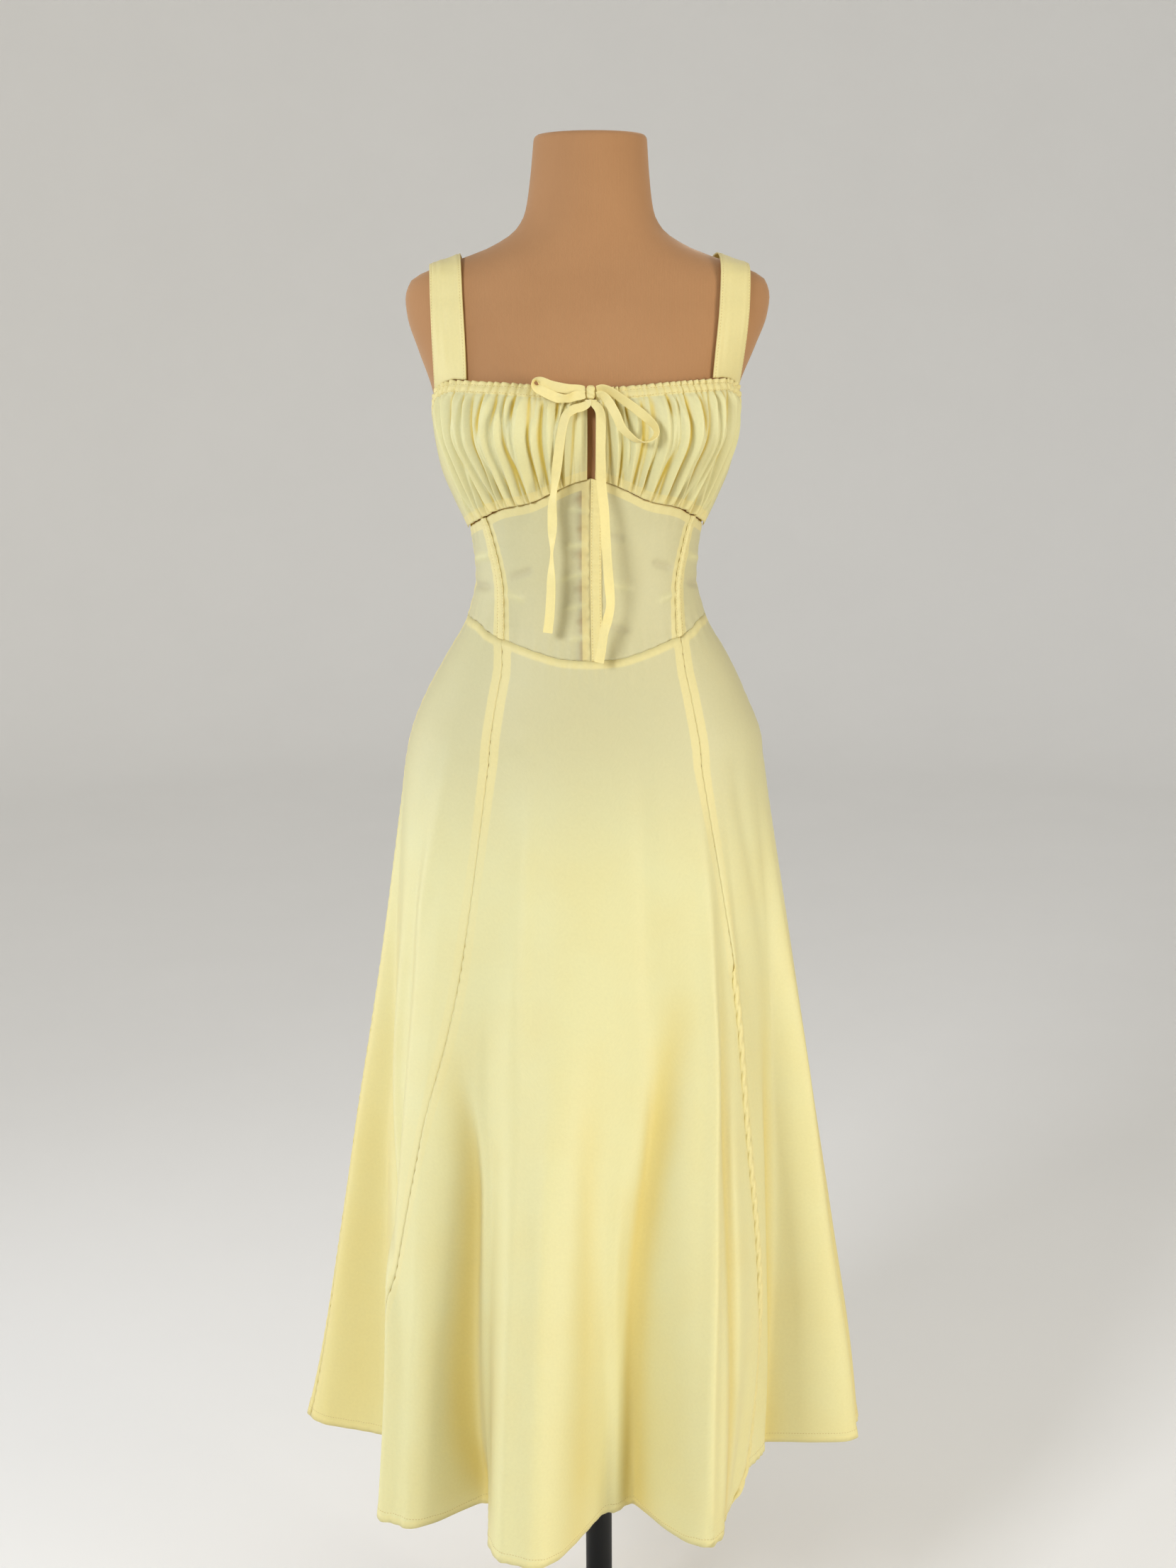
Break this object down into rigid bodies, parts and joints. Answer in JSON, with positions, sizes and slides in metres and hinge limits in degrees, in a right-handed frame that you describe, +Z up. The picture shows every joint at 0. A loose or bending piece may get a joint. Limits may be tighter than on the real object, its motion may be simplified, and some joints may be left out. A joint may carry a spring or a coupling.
{
  "type": "midi dress on a limbless dress form with a pole stand",
  "caption": "Fitted midi dress with gathered cups, seamed midriff, tape bow and flared slit skirt, worn on a limbless dress form on a pole and round base.",
  "frame": {"origin": "middle of the round base's underside, on the upright axis of the pole", "axes": "+Z up along the pole, -Y the front of the dress, +X the side with the slit"},
  "size_m": [0.6005, 0.5989, 1.676],
  "materials": {
    "cotton": "thin pale yellow cotton sateen",
    "jersey": "tan jersey stretched over the form",
    "steel": "black satin enamel"
  },
  "bodies": {
    "root": {"form_torso": "jersey", "stand_base": "steel", "stand_socket": "steel", "stand_pole": "steel", "stand_flange": "steel", "cup_left": "cotton", "cup_right": "cotton", "strap_left": "cotton", "strap_right": "cotton", "midriff_front_left": "cotton", "midriff_front_right": "cotton", "midriff_side_left": "cotton", "midriff_side_right": "cotton", "channel_left": "cotton", "channel_right": "cotton", "front_strip": "cotton", "bodice_back": "cotton", "skirt_front": "cotton", "skirt_side_left": "cotton", "skirt_side_right": "cotton", "skirt_back": "cotton", "tie_knot": "cotton", "tie_loop_left": "cotton", "tie_loop_right": "cotton", "tie_tail_left": "cotton", "tie_tail_right": "cotton"}
  },
  "joints": []
}
